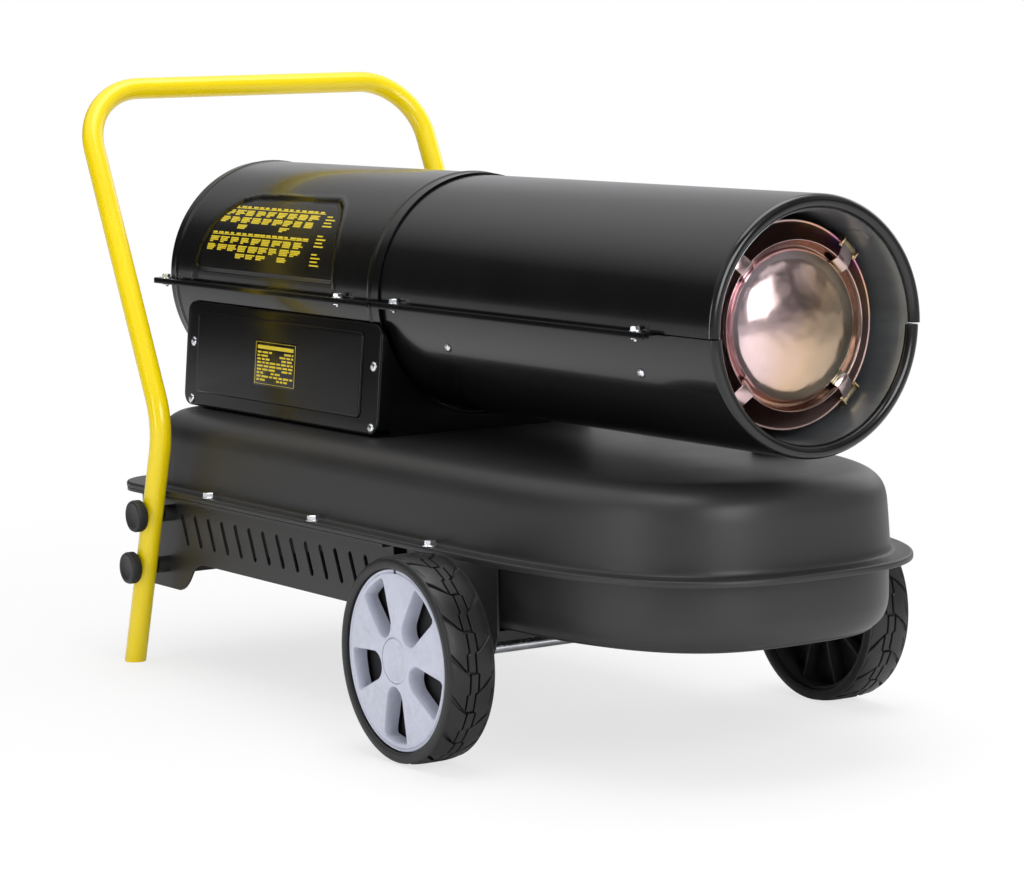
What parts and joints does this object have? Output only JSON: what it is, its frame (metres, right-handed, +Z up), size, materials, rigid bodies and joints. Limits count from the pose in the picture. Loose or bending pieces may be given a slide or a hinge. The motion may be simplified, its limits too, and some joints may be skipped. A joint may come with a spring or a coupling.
{
  "type": "forced air heater",
  "caption": "Wheeled oil-fired forced air heater: a horizontal sheet-metal barrel over a flanged fuel tank, with a louvred base and a bent tube handle that forms the rear legs.",
  "frame": {"origin": "on the floor, under the middle of the overall length and width", "axes": "+X the way the hot air leaves, +Z up, -Y towards the side with the plain cover"},
  "size_m": [1.0576, 0.551, 0.6395],
  "materials": {
    "gloss_black": "semi-gloss black powder coat",
    "satin_black": "satin charcoal black powder coat",
    "yellow_paint": "gloss yellow paint",
    "zinc": "bright zinc plate",
    "liner_steel": "grey heat-dulled sheet steel",
    "tinted_steel": "stainless sheet with straw to rose heat tint",
    "brass": "turned brass",
    "aluminium": "cast and pressed aluminium",
    "black_plastic": "matte black moulded plastic",
    "red_plastic": "glossy red moulded plastic",
    "pale_plastic": "pale bluish white moulded plastic",
    "tyre_rubber": "matte black solid rubber",
    "seal_rubber": "matte black rubber",
    "ceramic": "white glazed ceramic",
    "carbon": "dark carbon composite",
    "air_hose_plastic": "black nylon hose",
    "fuel_hose_plastic": "amber nylon hose",
    "lead_sheath": "red silicone sheath",
    "transformer_case": "dark blue potting case",
    "circuit_board": "green circuit board"
  },
  "bodies": {
    "frame": {"rear_upper_casing": "gloss_black", "rear_lower_casing": "gloss_black", "front_upper_casing": "gloss_black", "front_lower_casing": "gloss_black", "side_box_body": "gloss_black", "side_box_cover": "gloss_black", "control_panel": "gloss_black", "tank_upper_shell": "satin_black", "tank_lower_shell": "satin_black", "base_skirt": "satin_black", "axle_bracket": "satin_black", "fan_motor": "satin_black", "handle_tube": "yellow_paint", "axle": "zinc", "motor_bracket": "zinc", "filler_neck": "zinc", "drain_plug": "zinc", "flange_bolt_near_rear": "zinc", "flange_bolt_near_middle": "zinc", "flange_bolt_near_front": "zinc", "flange_bolt_far_rear": "zinc", "flange_bolt_far_middle": "zinc", "flange_bolt_far_front": "zinc", "inner_liner": "liner_steel", "combustion_chamber": "liner_steel", "burner_head": "liner_steel", "flame_diffuser": "tinted_steel", "fuel_nozzle": "brass", "fuel_pickup": "brass", "air_pump_body": "aluminium", "thermostat_body": "aluminium", "rear_grille": "black_plastic", "flame_sensor": "black_plastic", "air_filter_cover": "black_plastic", "cord_gland": "black_plastic", "power_switch_housing": "black_plastic", "fuel_gauge": "black_plastic", "spark_electrode": "ceramic", "air_hose": "air_hose_plastic", "fuel_hose": "fuel_hose_plastic", "ignition_lead": "lead_sheath", "ignition_transformer": "transformer_case", "control_board": "circuit_board"},
    "wheel_near": {"tyre_near": "tyre_rubber", "wheel_hub_near": "pale_plastic", "hub_cap_near": "pale_plastic"},
    "wheel_far": {"tyre_far": "tyre_rubber", "wheel_hub_far": "pale_plastic", "hub_cap_far": "pale_plastic"},
    "fan_rotor": {"fan_impeller": "aluminium", "motor_shaft": "zinc", "pump_rotor": "carbon"},
    "knob_near_upper": {"clamp_knob_near_upper": "black_plastic"},
    "knob_near_lower": {"clamp_knob_near_lower": "black_plastic"},
    "knob_far_upper": {"clamp_knob_far_upper": "black_plastic"},
    "knob_far_lower": {"clamp_knob_far_lower": "black_plastic"},
    "thermostat_dial": {"thermostat_knob": "black_plastic"},
    "switch_rocker": {"power_switch_rocker": "red_plastic"},
    "cap_seal": {"cap_gasket": "seal_rubber"},
    "cap": {"filler_cap": "black_plastic"}
  },
  "joints": [
    {"name": "wheel_near_spin", "type": "hinge", "parent": "frame", "child": "wheel_near", "pos_m": [0.21785, -0.2495, 0.1], "axis": [0, 1, 0], "continuous": true},
    {"name": "wheel_far_spin", "type": "hinge", "parent": "frame", "child": "wheel_far", "pos_m": [0.21785, 0.2495, 0.1], "axis": [0, 1, 0], "continuous": true},
    {"name": "fan_spin", "type": "hinge", "parent": "frame", "child": "fan_rotor", "pos_m": [-0.20715, 0, 0.418], "axis": [1, 0, 0], "continuous": true},
    {"name": "knob_near_upper_turn", "type": "hinge", "parent": "frame", "child": "knob_near_upper", "pos_m": [-0.37458, -0.2277, 0.169], "axis": [0, 1, 0], "continuous": true},
    {"name": "knob_near_lower_turn", "type": "hinge", "parent": "frame", "child": "knob_near_lower", "pos_m": [-0.39223, -0.2277, 0.11], "axis": [0, 1, 0], "continuous": true},
    {"name": "knob_far_upper_turn", "type": "hinge", "parent": "frame", "child": "knob_far_upper", "pos_m": [-0.37458, 0.2277, 0.169], "axis": [0, 1, 0], "continuous": true},
    {"name": "knob_far_lower_turn", "type": "hinge", "parent": "frame", "child": "knob_far_lower", "pos_m": [-0.39223, 0.2277, 0.11], "axis": [0, 1, 0], "continuous": true},
    {"name": "thermostat_turn", "type": "hinge", "parent": "frame", "child": "thermostat_dial", "pos_m": [-0.29565, 0.13072, 0.34062], "axis": [0, 0.9964, 0.0852], "range_deg": [-270, 0]},
    {"name": "switch_tip", "type": "hinge", "parent": "frame", "child": "switch_rocker", "pos_m": [-0.17565, 0.13072, 0.34062], "axis": [1, 0, 0], "range_deg": [0, 16]},
    {"name": "cap_turn", "type": "hinge", "parent": "frame", "child": "cap_seal", "pos_m": [0.30785, 0.116, 0.29], "axis": [0, 0, 1], "range_deg": [0, 90]},
    {"name": "cap_lift", "type": "slide", "parent": "cap_seal", "child": "cap", "axis": [0, 0, 1], "range_m": [0, 0.025]}
  ]
}
